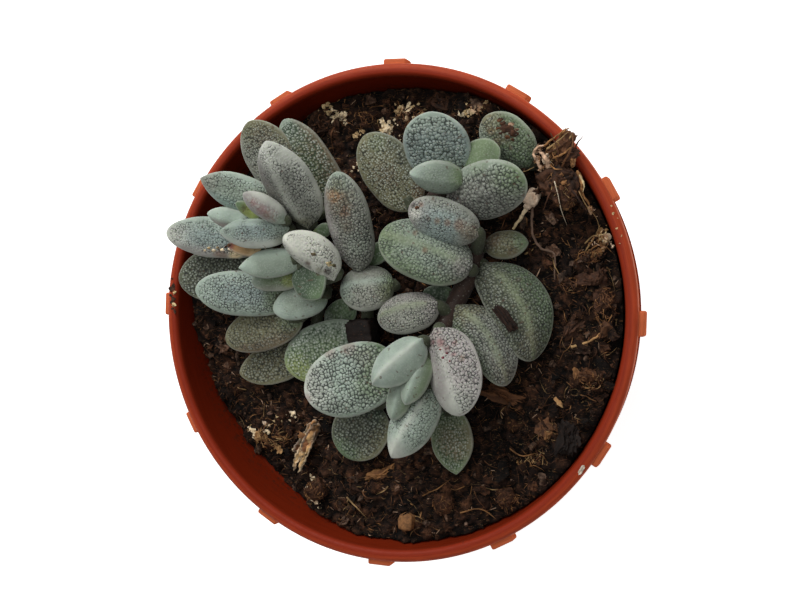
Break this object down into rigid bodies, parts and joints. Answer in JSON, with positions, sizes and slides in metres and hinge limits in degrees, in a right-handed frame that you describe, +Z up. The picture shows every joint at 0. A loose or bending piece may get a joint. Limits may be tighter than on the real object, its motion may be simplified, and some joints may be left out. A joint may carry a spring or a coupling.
{
  "type": "potted crassula",
  "caption": "Round plastic nursery pot filled with fibrous peat, with a low mat of leafy crassula shoots whose thick, keeled grey-green leaves are beaded all over",
  "frame": {"origin": "centre of the pot's base, on the surface that it stands on", "axes": "+Z up out of the pot, +X to the right and +Y away from the viewer in the picture's view from above"},
  "size_m": [0.0868, 0.0868, 0.089],
  "materials": {
    "terracotta_plastic": "satin",
    "peat": "matte",
    "leaf": "matte",
    "bark": "matte",
    "straw": "matte"
  },
  "bodies": {
    "root": {"pot": "terracotta_plastic", "soil": "peat", "shoot_upper_left": "leaf", "shoot_lower_left": "leaf", "shoot_centre": "leaf", "shoot_front": "leaf", "shoot_right": "leaf", "shoot_far_right": "leaf", "bark_block": "bark", "bark_piece": "bark", "bark_flake": "bark", "bark_chip": "bark", "peat_lump": "peat", "peat_lump_front": "peat", "peat_lump_right": "peat", "clay_ball": "bark", "withered_leaf": "straw", "pale_root": "straw", "root_thread": "straw", "root_fibre": "straw", "root_clump": "bark"}
  },
  "joints": []
}
